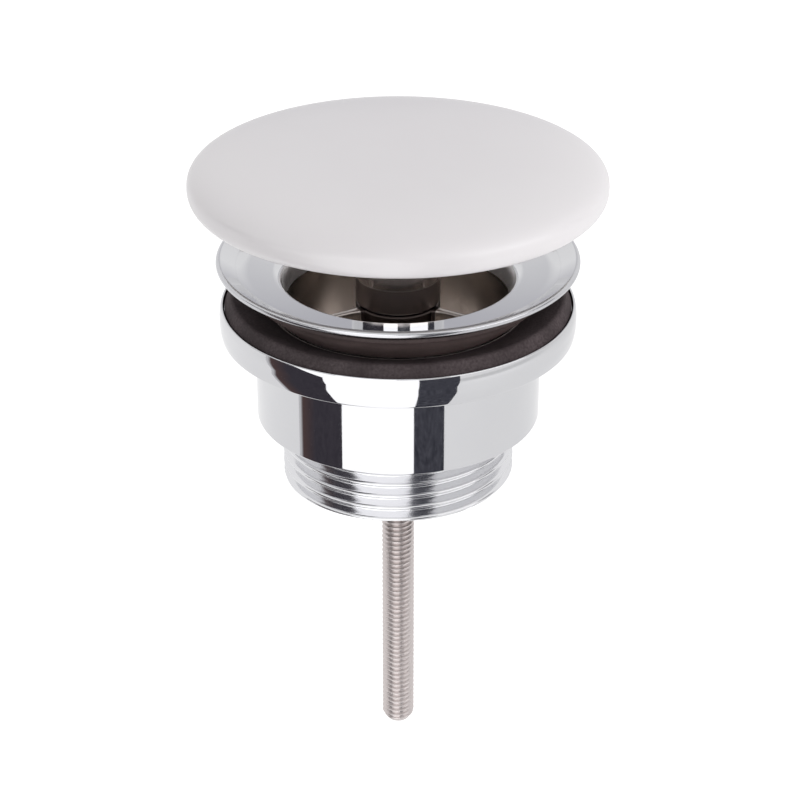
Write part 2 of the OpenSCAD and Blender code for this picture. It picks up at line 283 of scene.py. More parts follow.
def thread_form(phase, sharpness):
    """Height of a thread's flank, from 0 at the root to 1 at the crest: a triangle wave bent by a
    hyperbolic tangent, 0.5 - 0.5 tanh(sharpness w) / tanh(sharpness), which rounds crest and root
    and leaves the flanks straight."""
    triangle = 1 - 4 * np.abs(phase - np.floor(phase) - 0.5)
    return 0.5 - 0.5 * np.tanh(sharpness * triangle) / np.tanh(sharpness)


def eased(t):
    """0 before 0, 1 after 1, and the smooth rise t t (3 - 2 t) between them."""
    t = np.clip(t, 0, 1)
    return t * t * (3 - 2 * t)


def spokes(hub_r, wall_r, thickness, top, height):
    """Straight spokes from a hub to a wall: a superellipse, thickness by height, carried outwards.
    Its thickness grows by a share that falls off as exp(-distance / reach) from hub and wall, as a
    cast fillet does, and its ends close to a point inside what carries them."""
    inner, outer = hub_r - SINK_IN_HUB, wall_r + SINK_IN_WALL
    s = np.linspace(0, 1, SPOKE_ROWS)[:, None]
    along = inner + (outer - inner) * (0.5 - 0.5 * np.cos(np.pi * s))
    from_hub, from_wall = along - hub_r, wall_r - FILLET_LEAD - along
    growth = np.exp(-from_hub / FILLET_REACH) + np.exp(-from_wall / FILLET_REACH)
    fillet = np.clip(1 + FILLET_SHARE * growth, 1, FILLET_MOST)
    closing = np.where((s == 0) | (s == 1), 0.0, 1.0)
    t = np.arange(SPOKE_SIDES)[None] * (2 * np.pi / SPOKE_SIDES)

    def corner(wave):
        return np.sign(wave) * np.abs(wave) ** (2 / SPOKE_SQUARENESS)

    across = closing * fillet * thickness / 2 * corner(np.cos(t))
    up = top - height / 2 + closing * height / 2 * corner(np.sin(t))
    along = np.broadcast_to(along, across.shape)
    faces = grid_faces(SPOKE_ROWS, SPOKE_SIDES, False)
    parts = []
    for k in range(SPOKES):
        a = math.radians(FIRST_SPOKE + 360 / SPOKES * k)
        x = along * math.cos(a) - across * math.sin(a)
        y = along * math.sin(a) + across * math.cos(a)
        parts.append((np.stack([x, y, up], axis=-1).reshape(-1, 3), faces))
    return parts


def piece(name, parts, body, material, node):
    """Makes one mesh of several grids, merges the points that they share, turns every face
    outwards, and lets it ride on its body in place of the CAD node that it stands for."""
    points = np.vstack([p for p, _ in parts]) * MM
    starts = np.cumsum([0] + [len(p) for p, _ in parts[:-1]])
    faces = np.vstack([f + start for (_, f), start in zip(parts, starts)])
    mesh = bpy.data.meshes.new(name)
    mesh.from_pydata(points, [], faces)
    work = bmesh.new()
    work.from_mesh(mesh)
    bmesh.ops.remove_doubles(work, verts=work.verts, dist=MERGE)
    bmesh.ops.recalc_face_normals(work, faces=work.faces)
    work.to_mesh(mesh)
    work.free()
    mesh.shade_smooth()
    mesh.materials.append(material)
    made = bpy.data.objects.new(name, mesh)
    bpy.context.scene.collection.objects.link(made)
    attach(made, body)
    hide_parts(node)


def linear(hex_colour):
    """An sRGB hex colour as the linear colour that shaders take, by the curve of that standard."""
    srgb = np.array([int(hex_colour[i:i + 2], 16) for i in (1, 3, 5)]) / 255
    rgb = np.where(srgb <= 0.04045, srgb / 12.92, ((srgb + 0.055) / 1.055) ** 2.4)
    return (*rgb.tolist(), 1.0)


def add(tree, kind, inputs, **settings):
    """Adds one node with its settings and links, and gives its outputs. Inputs are a dict by socket
    name or number, or a list in the order of the sockets. Each of them is a value, an sRGB hex
    colour, or the output that feeds the socket. The list of a Map Range node is the value, the two
    ends that it comes from and the two that it goes to. The numbers of a Mix node are 0 for the
    share, 2 and 3 for the numbers that it mixes, and 6 and 7 for the colours."""
    node = tree.nodes.new(kind)
    for option, value in settings.items():
        setattr(node, option, value)
    pairs = inputs.items() if isinstance(inputs, dict) else enumerate(inputs)
    for socket, value in pairs:
        if isinstance(value, bpy.types.NodeSocket):
            tree.links.new(value, node.inputs[socket])
        else:
            node.inputs[socket].default_value = linear(value) if isinstance(value, str) else value
    return node.outputs


def empty_tree(data):
    """The node tree of a material or world, with nothing in it."""
    data.use_nodes = True
    data.node_tree.nodes.clear()
    return data.node_tree


def new_material(name):
    """A material, its empty tree and the Object coordinates, which every piece has about the part's
    own origin."""
    material = bpy.data.materials.new(name)
    tree = empty_tree(material)
    return material, tree, add(tree, "ShaderNodeTexCoord", {})["Object"]


def add_surface(tree, inputs, height, depth_mm, strength=1.0):
    """Ends a material with its shader, which a height pattern of that full swing bumps. Values that
    are the same all over are set on the shader's own sockets."""
    swing = {"Height": height, "Distance": depth_mm * MM, "Strength": strength}
    bump = add(tree, "ShaderNodeBump", swing)["Normal"]
    shader = add(tree, "ShaderNodeBsdfPrincipled", {**inputs, "Normal": bump})["BSDF"]
    add(tree, "ShaderNodeOutputMaterial", {"Surface": shader})


def per_feature(size_mm):
    """Scale of a pattern on Object coordinates whose features are that many millimetres wide."""
    return 1 / (size_mm * MM)


def off_axis(tree, place):
    """Distance of each point from the part's axis."""
    flat = add(tree, "ShaderNodeVectorMath", [place, (1, 1, 0)], operation="MULTIPLY")["Vector"]
    return add(tree, "ShaderNodeVectorMath", [flat], operation="LENGTH")["Value"]


# What most of a noise lies between, and most of the product of two
NOISE = (0.3, 0.7)
TWO_NOISES = (0.12, 0.4)
# Heights over the cap's foot where the glaze begins and where it is whole, and the distances past a
# seal's punched bore where its painted highlight begins to fade and where it is gone
GLAZE_LINE = 0.15
GLAZE_WHOLE = 0.5
HIGHLIGHT_FADE_START = 0.5
HIGHLIGHT_FADE_END = 0.8
# Heights between which the painted light on the flange's seal's nose fades out, and how far a
# rubber's roughness varies
PAINTED_LIFT_HEIGHTS = (NOSE + 1.5, -2.5)
RUBBER_SPREAD = 0.06
# Scale along the rod of its scratches
SCRATCH_DRAWN = 0.08


def glazed_ceramic():
    """Vitreous china under a satin white glaze. The glaze lies in faint waves about 9 mm wide,
    and the unglazed foot, which stood in the kiln, is a warmer and rougher white."""
    material, tree, place = new_material("satin_glazed_ceramic")
    wave = add(tree, "ShaderNodeTexNoise", {
        "Vector": place, "Scale": per_feature(9), "Detail": 2.0})["Fac"]
    speck = add(tree, "ShaderNodeTexNoise", {
        "Vector": place, "Scale": per_feature(0.8), "Detail": 4.0})["Fac"]
    height = add(tree, "ShaderNodeSeparateXYZ", [place])["Z"]
    line, whole = (CAP_FOOT + GLAZE_LINE) * MM, (CAP_FOOT + GLAZE_WHOLE) * MM
    foot = add(tree, "ShaderNodeMapRange", [height, line, whole, 1.0, 0.0])[0]
    glaze = add(tree, "ShaderNodeMix", {0: wave, 6: "#E8E4E6", 7: "#EAE7E9"}, data_type="RGBA")[2]
    biscuit = add(tree, "ShaderNodeMix", {0: speck, 6: "#D9D3CB", 7: "#E6E2DB"}, data_type="RGBA")[2]
    satin = add(tree, "ShaderNodeMapRange", [wave, *NOISE, 0.30, 0.36])[0]
    colour = add(tree, "ShaderNodeMix", {0: foot, 6: glaze, 7: biscuit}, data_type="RGBA")[2]
    add_surface(tree, {
        "Base Color": colour, "Roughness": add(tree, "ShaderNodeMix", {0: foot, 2: satin, 3: 0.85})[0],
        "IOR": 1.52, "Coat Weight": 0.35, "Coat Roughness": 0.22, "Coat IOR": 1.5,
    }, wave, depth_mm=0.02, strength=0.3)
    return material


# Finishes of chrome plate: two colours that lie in patches, and a roughness
MIRROR = ("#CECED1", "#D2D2D4", 0.04)
BRUSHED_RIM = ("#C0C0C4", "#CCCCCF", 0.2)
HAZY_POST = ("#F0E9E6", "#FAF3F0", 0.13)
CUT_THREAD = ("#DADADD", "#E0E0E2", 0.14)
SATIN_FUNNEL = ("#F2F0F0", "#FEFCFC", 0.38)
DULL_RECESS = ("#A8A09B", "#E0D8D2", 0.25)
# Painted shade: the post's foot is coloured dark for the shade under the cap
PAINTED_SHADE_FOOT = ("#7A706D", "#887D7A", 0.36)
# Painted shade: the hub is coloured dark for the shade deep in the well
PAINTED_SHADE_HUB = ("#4C4442", "#5E5552", 0.35)
# How far the mirror's roughness varies, widths over which one finish turns into another, and how
# far a zone reaches past the face that it is for, where it has room and where others are near
HAZE = 0.01
ZONE_FADE = 0.2
ZONE_TOP_FADE = 0.4
ROOM = 1
NEAR = 0.1
# Heights where the rim's finish begins and ends and where the painted shade on the post's foot ends,
# how far the funnel's satin stays under the lip, the reach of the painted shade round the hub, and
# where the finishes of the body's thread and barrel end
RIM_ZONE_FOOT = -0.5
RIM_ZONE_TOP = RIM_TOP + 0.6
PAINTED_SHADE_FOOT_TOP = -2.4
SATIN_DROP = 0.7
HUB_ZONE_R = HUB_R + 0.5
HUB_ZONE_TOP = HUB_TOP + 0.6
THREAD_ZONE_TOP = THREAD_TOP + 0.2
BARREL_ZONE_FOOT = BARREL_FLOOR - 0.3
# Radius, foot, top and finish of the zones of each chrome piece
POST_ZONES = (
    (POST_R + NEAR, POST_FOOT - ROOM, RIM_TOP, HAZY_POST),
    # Painted shade on the post's foot
    (POST_R + NEAR, POST_FOOT - ROOM, PAINTED_SHADE_FOOT_TOP, PAINTED_SHADE_FOOT))
FLANGE_ZONES = (
    (FLANGE_R + ROOM, RIM_ZONE_FOOT, RIM_ZONE_TOP, BRUSHED_RIM),
    (LAND_TOP_R, RIM_ZONE_FOOT, RIM_ZONE_TOP, MIRROR),
    (LIP_TOP_R - NEAR, THROAT_Z, LIP_TOP_Z - SATIN_DROP, SATIN_FUNNEL),
    (THROAT_R + NEAR, NECK_END, THROAT_Z + NEAR, DULL_RECESS),
    # Painted shade round the hub
    (HUB_ZONE_R, NECK_END, HUB_ZONE_TOP, PAINTED_SHADE_HUB))
BODY_ZONES = (
    (THREAD_R + NEAR, TAIL_END - ROOM, THREAD_ZONE_TOP, CUT_THREAD),
    (TAIL_BORE_R + NEAR, TAIL_END, CUP_FLOOR, DULL_RECESS),
    (BARREL_R - BARREL_WALL + NEAR, BARREL_ZONE_FOOT, CUP_FLOOR, DULL_RECESS))


def chrome_plate(name, zones):
    """Chrome plate over polished brass: a cool mirror, with a haze in patches about 6 mm wide and
    waves of a few microns about 12 mm wide. The rim and the post are polished less finely, and a
    cut thread keeps fine tool marks, which blurs what they mirror. The funnel has a satin finish.
    Little chrome is deposited in a recess, which stays a dull and warmer nickel. The hub and the
    post's foot are darkest, from painted shade. A later zone lies over an earlier one."""
    material, tree, place = new_material(name)
    patch = add(tree, "ShaderNodeTexNoise", {
        "Vector": place, "Scale": per_feature(6), "Detail": 3.0})["Fac"]
    wave = add(tree, "ShaderNodeTexNoise", {
        "Vector": place, "Scale": per_feature(12), "Detail": 1.0})["Fac"]
    height = add(tree, "ShaderNodeSeparateXYZ", [place])["Z"]
    radius = off_axis(tree, place)
    low, high, roughness = MIRROR
    colour = add(tree, "ShaderNodeMix", {0: patch, 6: low, 7: high}, data_type="RGBA")[2]
    haze = add(tree, "ShaderNodeMapRange", [patch, *NOISE, roughness - HAZE, roughness + HAZE])[0]
    for reach, foot, top, (low, high, roughness) in zones:
        within = add(tree, "ShaderNodeMapRange", [
            radius, reach * MM, (reach + ZONE_FADE) * MM, 1.0, 0.0])[0]
        over = add(tree, "ShaderNodeMapRange", [
            height, foot * MM, (foot + ZONE_FADE) * MM, 0.0, 1.0])[0]
        under = add(tree, "ShaderNodeMapRange", [
            height, (top - ZONE_TOP_FADE) * MM, top * MM, 1.0, 0.0])[0]
        slab = add(tree, "ShaderNodeMath", [over, under], operation="MULTIPLY")[0]
        inside = add(tree, "ShaderNodeMath", [within, slab], operation="MULTIPLY")[0]
        own = add(tree, "ShaderNodeMix", {0: patch, 6: low, 7: high}, data_type="RGBA")[2]
        colour = add(tree, "ShaderNodeMix", {0: inside, 6: colour, 7: own}, data_type="RGBA")[2]
        haze = add(tree, "ShaderNodeMix", {0: inside, 2: haze, 3: roughness})[0]
    add_surface(tree, {"Base Color": colour, "Roughness": haze, "Metallic": 1.0}, wave,
                depth_mm=0.006, strength=0.5)
    return material


def rubber(name, dark, light, pore_mm, roughness, depth_mm, painted_highlight_r=None, painted_lift_heights=None):
    """Moulded rubber: near black with a warm cast, dulled by pores and mould texture. Where the radius
    of a punched bore is given, a paler band along its edge is a painted highlight. Where heights are
    given, a paler colour that fades out between them is painted light, lifting the shade at a nose."""
    material, tree, place = new_material(name)
    pores = add(tree, "ShaderNodeTexNoise", {
        "Vector": place, "Scale": per_feature(pore_mm), "Detail": 5.0})["Fac"]
    bloom = add(tree, "ShaderNodeTexNoise", {
        "Vector": place, "Scale": per_feature(7), "Detail": 3.0})["Fac"]
    mottle = add(tree, "ShaderNodeMath", [pores, bloom], operation="MULTIPLY")[0]
    share = add(tree, "ShaderNodeMapRange", [mottle, *TWO_NOISES, 0.0, 1.0])[0]
    colour = add(tree, "ShaderNodeMix", {0: share, 6: dark, 7: light}, data_type="RGBA")[2]
    # Painted light: a paler colour that lifts the shade round the seal's nose, fading between two
    # heights
    if painted_lift_heights:
        height = add(tree, "ShaderNodeSeparateXYZ", [place])["Z"]
        low, high = painted_lift_heights
        painted_lift = add(tree, "ShaderNodeMapRange", [height, low * MM, high * MM, 1.0, 0.0])[0]
        painted_lift_colour = add(tree, "ShaderNodeMix", {0: share, 6: "#7D6B69", 7: "#978382"}, data_type="RGBA")[2]
        colour = add(tree, "ShaderNodeMix", {0: painted_lift, 6: colour, 7: painted_lift_colour}, data_type="RGBA")[2]
    # Painted highlight: a paler band along the bore's edge
    if painted_highlight_r:
        edge, whole = (painted_highlight_r + HIGHLIGHT_FADE_START) * MM, (painted_highlight_r + HIGHLIGHT_FADE_END) * MM
        cut = add(tree, "ShaderNodeMapRange", [off_axis(tree, place), edge, whole, 1.0, 0.0])[0]
        painted_highlight = add(tree, "ShaderNodeMix", {0: share, 6: "#CFC6C2", 7: "#E2DAD6"}, data_type="RGBA")[2]
        colour = add(tree, "ShaderNodeMix", {0: cut, 6: colour, 7: painted_highlight}, data_type="RGBA")[2]
    spread = [roughness - RUBBER_SPREAD, roughness + RUBBER_SPREAD]
    dull = add(tree, "ShaderNodeMapRange", [bloom, *NOISE, *spread])[0]
    add_surface(tree, {
        "Base Color": colour, "Roughness": dull, "IOR": 1.5, "Specular IOR Level": 0.35,
    }, pores, depth_mm)
    return material


def moulded_plastic(name, shade, deep):
    """Injection-moulded plastic, matt from a fine spark-eroded grain that is 0.3 mm wide."""
    material, tree, place = new_material(name)
    grain = add(tree, "ShaderNodeTexNoise", {
        "Vector": place, "Scale": per_feature(0.3), "Detail": 2.0})["Fac"]
    add_surface(tree, {
        "Base Color": add(tree, "ShaderNodeMix", {0: grain, 6: deep, 7: shade}, data_type="RGBA")[2],
        "Roughness": add(tree, "ShaderNodeMapRange", [grain, *NOISE, 0.45, 0.55])[0],
        "IOR": 1.46,
    }, grain, depth_mm=0.01)
    return material


def rolled_stainless():
    """Stainless rod with a rolled thread: a warm grey in fine scratches, 0.25 mm wide and twelve
    times as long, whose roughness differs a little from one to the next."""
    material, tree, place = new_material("rolled_stainless")
    drawn = add(tree, "ShaderNodeMapping", {
        "Vector": place, "Scale": (1.0, 1.0, SCRATCH_DRAWN)})["Vector"]
    scratch = add(tree, "ShaderNodeTexNoise", {
        "Vector": drawn, "Scale": per_feature(0.25), "Detail": 3.0})["Fac"]
    grey = add(tree, "ShaderNodeMix", {0: scratch, 6: "#C6BDBB", 7: "#DAD3D2"}, data_type="RGBA")[2]
    add_surface(tree, {
        "Base Color": grey, "Metallic": 1.0,
        "Roughness": add(tree, "ShaderNodeMapRange", [scratch, *NOISE, 0.28, 0.42])[0],
    }, scratch, depth_mm=0.004)
    return material


def cap_outline():
    """Half section of the cap, from the axis over the dome and back to the axis. The dome is
    r = R sin(t) ** (2 / q) and z = foot + h cos(t) ** (2 / q); a quarter round leads to the foot."""
    wide = CAP_FOOT + CAP_EDGE_R
    t = np.linspace(0, np.pi / 2, DOME_ROWS)
    power = 2 / CAP_SQUARENESS
    dome_z = wide + (CAP_TOP - wide) * np.clip(np.cos(t), 0, 1) ** power
    dome = np.stack([CAP_R * np.sin(t) ** power, dome_z], axis=1)
    t = np.linspace(0, -np.pi / 2, EDGE_ROWS)[1:]
    edge_r = CAP_R - CAP_EDGE_R
    edge = np.stack([edge_r + CAP_EDGE_R * np.cos(t), wide + CAP_EDGE_R * np.sin(t)], axis=1)
    foot_r = edge_r - CAP_FOOT_W
    hollow_z = CAP_FOOT + CAP_HOLLOW
    pocket_r = DISC_R + SEAT_GAP
    under = softened([
        (edge_r - 2 * HOLD, CAP_FOOT, SHARP), (foot_r, CAP_FOOT, SOFT),
        (foot_r - CAP_HOLLOW, hollow_z, HOLLOW_BEND), (pocket_r, hollow_z, SHARP),
        (pocket_r, DISC_TOP, SHARP), (0, DISC_TOP, SHARP)], closed=False)
    return np.vstack([dome, edge, under])


def socket_outline():
    """Half section of the cap's socket: a disc with a skirt, bored for the spigot."""
    under_disc = CAP_FOOT + CAP_HOLLOW
    roof = SPIGOT_TOP + SPIGOT_GAP
    return softened([
        (0, DISC_TOP, SHARP), (DISC_R, DISC_TOP, FINE), (DISC_R, under_disc, FINE),
        (POST_R, under_disc, SOFT), (POST_R, SHOULDER, MILD), (SOCKET_BORE_R, SHOULDER, FINE),
        (SOCKET_BORE_R, roof, FINE), (0, roof, SHARP)], closed=False)


def ring_outline(node):
    """Circle through the section of an O-ring node."""
    outer, foot, top = levels(node)
    cord = (top - foot) / 2
    t = np.arange(CORD_ROWS) * (2 * np.pi / CORD_ROWS)
    return np.stack([outer - cord + cord * np.cos(t), foot + cord + cord * np.sin(t)], axis=1)


def post_outline():
    """Half section of the post, from the key socket's floor round to the end of the rod's bore."""
    grooves = []
    for node in ("upper_o_ring", "lower_o_ring"):
        _, foot, top = levels(node)
        high, low = (foot + top + GROOVE_W) / 2, (foot + top - GROOVE_W) / 2
        grooves += [(SPIGOT_R, high, TOUCHED), (GROOVE_R, high, CRISP)]
        grooves += [(GROOVE_R, low, CRISP), (SPIGOT_R, low, TOUCHED)]
    return softened([
        (0, SPIGOT_TOP - KEY_DEPTH, SHARP), (KEY_R, SPIGOT_TOP - KEY_DEPTH, SHARP),
        (KEY_R, SPIGOT_TOP, CRISP), (SPIGOT_R, SPIGOT_TOP, SOFT), *grooves,
        (SPIGOT_R, SHOULDER, SHARP), (POST_R, SHOULDER, MILD), (POST_R, POST_FOOT, MILD),
        (ROD_BORE_R, POST_FOOT, CRISP), (ROD_BORE_R, ROD_TOP, SHARP), (0, ROD_TOP, SHARP),
    ], closed=False)


def hexagon(outline, columns):
    """Stretch that makes the key socket's rows six-sided: 1 / cos of the angle from a flat's
    middle up to the socket's edge, and 1 elsewhere."""
    a = np.arange(columns) * (2 * np.pi / columns)
    flat = 1 / np.cos(a % (np.pi / 3) - np.pi / 6)
    under_floor = SPIGOT_TOP - KEY_DEPTH - KEY_PAST_FLOOR
    keyed = (outline[:, 0] < KEY_R + KEY_PAST_R) & (outline[:, 1] > under_floor)
    return np.where(keyed[:, None], flat[None], 1.0)


def washer_outline():
    """Closed section of the thrust washer between the post's foot and the hub's recess."""
    return softened([(WASHER_R, WASHER_FOOT, CRISP), (WASHER_R, POST_FOOT, CRISP),
                     (ROD_HOLE_R, POST_FOOT, CRISP), (ROD_HOLE_R, WASHER_FOOT, CRISP)])


def under_dish(radius, drop):
    """Where a cone that rises beside the funnel from a radius at the throat meets the underside
    of the bowl's inner slope, lowered by drop."""
    flare = (LIP_R - THROAT_R) / (LIP_Z - THROAT_Z)
    slope = (BOWL_Z - LIP_Z) / (BOWL_R - LIP_R)
    under = BOWL_Z - RIM_TOP - drop
    z = (under + slope * (radius - flare * THROAT_Z - BOWL_R)) / (1 - slope * flare)
    return radius + flare * (z - THROAT_Z), z


def flange_outline():
    """Closed section of the flange: rolled rim, land, dish, lip, funnel and neck."""
    rim_bend = RIM_TOP / 2 - HAIR
    return softened([
        (FLANGE_R, 0, rim_bend), (FLANGE_R, RIM_TOP, rim_bend), (LAND_TOP_R, RIM_TOP, LAND_EDGE_R),
        (BOWL_R, BOWL_Z, BOWL_BEND), (LIP_TOP_R, LIP_TOP_Z, LIP_BEND),
        (FUNNEL_R, FUNNEL_Z, FUNNEL_BEND), (THROAT_R, THROAT_Z, EASY), (THROAT_R, NECK_END, MILD),
        (NECK_R, NECK_END, MILD), (NECK_R, THROAT_Z, SOFT), (*under_dish(NECK_R, 0), SOFT),
        (BOWL_R, BOWL_Z - RIM_TOP, UNDER_BOWL_BEND), (LAND_R, 0, TOUCHED)])


def hub_outline(bore, outer, foot, top, recess_r=None, recess_z=None):
    """Closed section of a hub, with a recess in its top where one is given."""
    corners = [(outer, foot, SOFT), (outer, top, SOFT)]
    if recess_r:
        corners += [(recess_r, top, TOUCHED), (recess_r, recess_z, TOUCHED), (bore, recess_z, TOUCHED)]
    else:
        corners += [(bore, top, EASY)]
    return softened([*corners, (bore, foot, EASY)])


def flange_seal_outline():
    """Closed section of the flange's seal: thin edge, cone down to the nose, bore on the neck."""
    bore = NECK_R + SEAT_GAP
    slope = (RIM_TOP - BOWL_Z) / (LAND_R - BOWL_R)
    top = -SEAT_GAP - slope * (LAND_R - SEAL_R)
    return softened([
        (bore, NOSE, TOUCHED), (NOSE_R, NOSE, SOFT), (SEAL_R, top - SEAL_EDGE_T, SOFT),
        (SEAL_R, top, CRISP), (BOWL_R, BOWL_Z - RIM_TOP - SEAT_GAP, EASY),
        (*under_dish(bore, SEAT_GAP), EASY), (bore, THROAT_Z, EASY)])


def basin_seal_outline():
    """Closed section of the foam ring: funnel on top, soft crest, flank down to the cup's wall."""
    return softened([
        (FOAM_BORE_R, CUP_FLOOR, FINE), (FOAM_R, CUP_FLOOR, FINE),
        (FOAM_R, CUP_FLOOR + FOAM_WALL_H, FINE), (FOAM_CREST_R, FOAM_CREST, FOAM_CREST_BEND),
        (FOAM_BORE_R, CUP_FLOOR + FOAM_BORE_H, EASY)])


def tail_radius(phase, z):
    """Radius of the tail's thread: the relief's radius grows to the thread's below the run-out,
    less the valley there, and the chamfer at the tail's end turns the crests down at 45 degrees."""
    valley = PIPE_DEPTH * (1 - thread_form(phase - PIPE_LATE, PIPE_SHARPNESS))
    cut = eased((THREAD_TOP - z) / PIPE_RUN_OUT)
    full = RELIEF_R + (THREAD_R - RELIEF_R) * cut - valley * cut
    return np.minimum(full, THREAD_R - TAIL_CHAMFER + (z - TAIL_END))


def cup_face(lip):
    """The cup's polished outer face, from its rim to its foot: straight in the middle, and falling
    away towards each end as the crown times the square of the way from the straight stretch."""
    z = np.linspace(CUP_RIM - lip, CUP_BOTTOM + CUP_EDGE_R, FACE_ROWS)
    to_rim = np.clip((z - CUP_RIM) / CUP_CROWN_RIM_H + 1, 0, 1)
    to_foot = np.clip((CUP_BOTTOM - z) / CUP_CROWN_FOOT_H + 1, 0, 1)
    return np.stack([CUP_R - CUP_CROWN * (to_rim ** 2 + to_foot ** 2), z], axis=1)


def body_parts():
    """The body in two grids that share their borders: the turned casting, from the tail's end face
    round the inside and the outside to the relief, and the pipe thread between them."""
    lip = (CUP_WALL - CUP_CROWN) / 2 - HAIR
    cup_inner, barrel_inner = CUP_R - CUP_WALL, BARREL_R - BARREL_WALL
    crown_r = CUP_R - CUP_CROWN
    end_r = THREAD_R - TAIL_CHAMFER
    face = cup_face(lip)
    inside = softened([
        (end_r, TAIL_END, SHARP), (TAIL_BORE_R, TAIL_END, FINE), (TAIL_BORE_R, BARREL_FLOOR, SOFT),
        (barrel_inner, BARREL_FLOOR, BARREL_FLOOR_BEND), (barrel_inner, CUP_FLOOR, FINE),
        (cup_inner, CUP_FLOOR, FINE), (cup_inner, CUP_RIM, lip),
        (crown_r, CUP_RIM, lip), (*face[0], SHARP)], closed=False)
    outside = softened([
        (*face[-1], SHARP), (crown_r, CUP_BOTTOM, CUP_EDGE_R), (BARREL_R, CUP_BOTTOM, MILD),
        (BARREL_R, BARREL_FOOT, BARREL_EDGE_R),
        (RELIEF_R, BARREL_FOOT, FINE), (RELIEF_R, THREAD_TOP, SHARP)], closed=False)
    outline = np.vstack([inside, face[1:-1], outside])
    stretch = np.ones((len(outline), RING))
    stretch[0] = tail_radius(-np.arange(RING) / RING, np.full(RING, TAIL_END)) / end_r
    return [turned(outline, closed=False, stretch=stretch),
            screwed(tail_radius, PIPE_PITCH, TAIL_END, THREAD_TOP, RING, PIPE_TURN_ROWS)]


def rod_radius(phase, z):
    """Radius of the rod's thread, turned down by the chamfers at both of its ends."""
    full = ROD_R - ROD_DEPTH * (1 - thread_form(phase, ROD_SHARPNESS))
    foot = ROD_TIP_R + (z - ROD_END) * (ROD_R - ROD_TIP_R) / ROD_CHAMFER
    top = ROD_TOP_R + (ROD_TOP - z) * (ROD_R - ROD_TOP_R) / ROD_TOP_CHAMFER
    return np.minimum(full, np.minimum(foot, top))


def rod_parts():
    """The threaded rod with a flat disc at each end."""
    foot = np.array([(0, ROD_END), (ROD_TIP_R - HOLD, ROD_END), (ROD_TIP_R, ROD_END)])
    top = np.array([(ROD_TOP_R, ROD_TOP), (ROD_TOP_R - HOLD, ROD_TOP), (0, ROD_TOP)])
    return [turned(foot, ROD_RING, closed=False), turned(top, ROD_RING, closed=False),
            screwed(rod_radius, ROD_PITCH, ROD_END, ROD_TOP, ROD_RING, ROD_TURN_ROWS)]


def make_cap():
    """The glazed cap and the socket under it."""
    plastic = moulded_plastic("moulded_socket", "#DAD8D2", "#CFCDC7")
    piece("cap_dome", [turned(cap_outline(), closed=False)], "cap", glazed_ceramic(),
          "ceramic_cap")
    piece("cap_socket_skirt", [turned(socket_outline(), SMALL_RING, closed=False)], "cap", plastic,
          "cap_socket")


def make_post():
    """The O-rings and the post that they sit on."""
    cord = rubber("nitrile_rubber", "#141414", "#1E1D1D", pore_mm=0.2, roughness=0.45, depth_mm=0.01)
    for node in ("upper_o_ring", "lower_o_ring"):
        piece(node + "_cord", [turned(ring_outline(node), SMALL_RING)], "spindle", cord,
              node)
    post = post_outline()
    piece("centre_post", [turned(post, SMALL_RING, False, hexagon(post, SMALL_RING))], "spindle",
          chrome_plate("chrome_plated_post", POST_ZONES), "post")


def make_flange():
    """The washer under the post, and the flange with its hub and spokes."""
    nylon = moulded_plastic("moulded_nylon", "#DDD8C8", "#CEC9B8")
    chrome = chrome_plate("chrome_plated_flange", FLANGE_ZONES)
    piece("thrust_washer", [turned(washer_outline(), SMALL_RING)], "flange", nylon,
          "post_washer")
    piece("dished_flange", [turned(flange_outline())], "flange", chrome, "flange")
    hub = hub_outline(ROD_HOLE_R, HUB_R, HUB_TOP - HUB_H, HUB_TOP, WASHER_R + SEAT_GAP, WASHER_FOOT)
    piece("flange_spider", [turned(hub, SMALL_RING),
                            *spokes(HUB_R, THROAT_R, SPOKE_T, HUB_TOP, SPOKE_H)],
          "flange", chrome, "flange")


def make_seals():
    """The moulded seal under the flange, with painted light at its nose, and the foam ring in the cup.
    """
    # The seal's nose gets painted light that lifts its shade
    moulded = rubber("moulded_epdm_rubber", "#332726", "#493A39", pore_mm=0.25, roughness=0.62,
                     depth_mm=0.02, painted_lift_heights=PAINTED_LIFT_HEIGHTS)
    # The foam's bore gets a painted highlight along its edge
    foam = rubber("cellular_rubber", "#33292B", "#504648", pore_mm=0.45, roughness=0.85,
                  depth_mm=0.08, painted_highlight_r=FOAM_BORE_R)
    piece("flange_seal_ring", [turned(flange_seal_outline())], "flange", moulded,
          "flange_seal")
    piece("foam_seal_ring", [turned(basin_seal_outline())], "waste_body", foam,
          "basin_seal")


def make_body():
    """The body, with the hub and spokes in its tail."""
    chrome = chrome_plate("chrome_plated_body", BODY_ZONES)
    piece("threaded_body", body_parts(), "waste_body", chrome, "waste_body")
    hub = hub_outline(ROD_BORE_R, NUT_HUB_R, NUT_HUB_FOOT, NUT_HUB_TOP)
    piece("tail_spider", [turned(hub, SMALL_RING),
                          *spokes(NUT_HUB_R, TAIL_BORE_R, TAIL_SPOKE_T, TAIL_SPOKE_TOP,
                                  TAIL_SPOKE_H)],
          "waste_body", chrome, "waste_body")


def make_rod():
    """The threaded rod."""
    piece("threaded_rod", rod_parts(), "spindle", rolled_stainless(), "clamp_rod")


# The studio, in metres, radians and watts, and its lens in millimetres. Azimuths of the cards are in
# degrees: 0 is towards the camera, and they grow to the right
CAMERA_AT = (0.00035, -0.3765, 0.1677)
CAMERA_PITCH = 0.4787
CAMERA_LENS = 105.32
CAMERA_NEAR = 0.01
LAMP_AT = (0.7, -0.41, 0.38)
LAMP_WIDTH = 0.8
LAMP_HEIGHT = 0.6
LAMP_POWER = 2.2
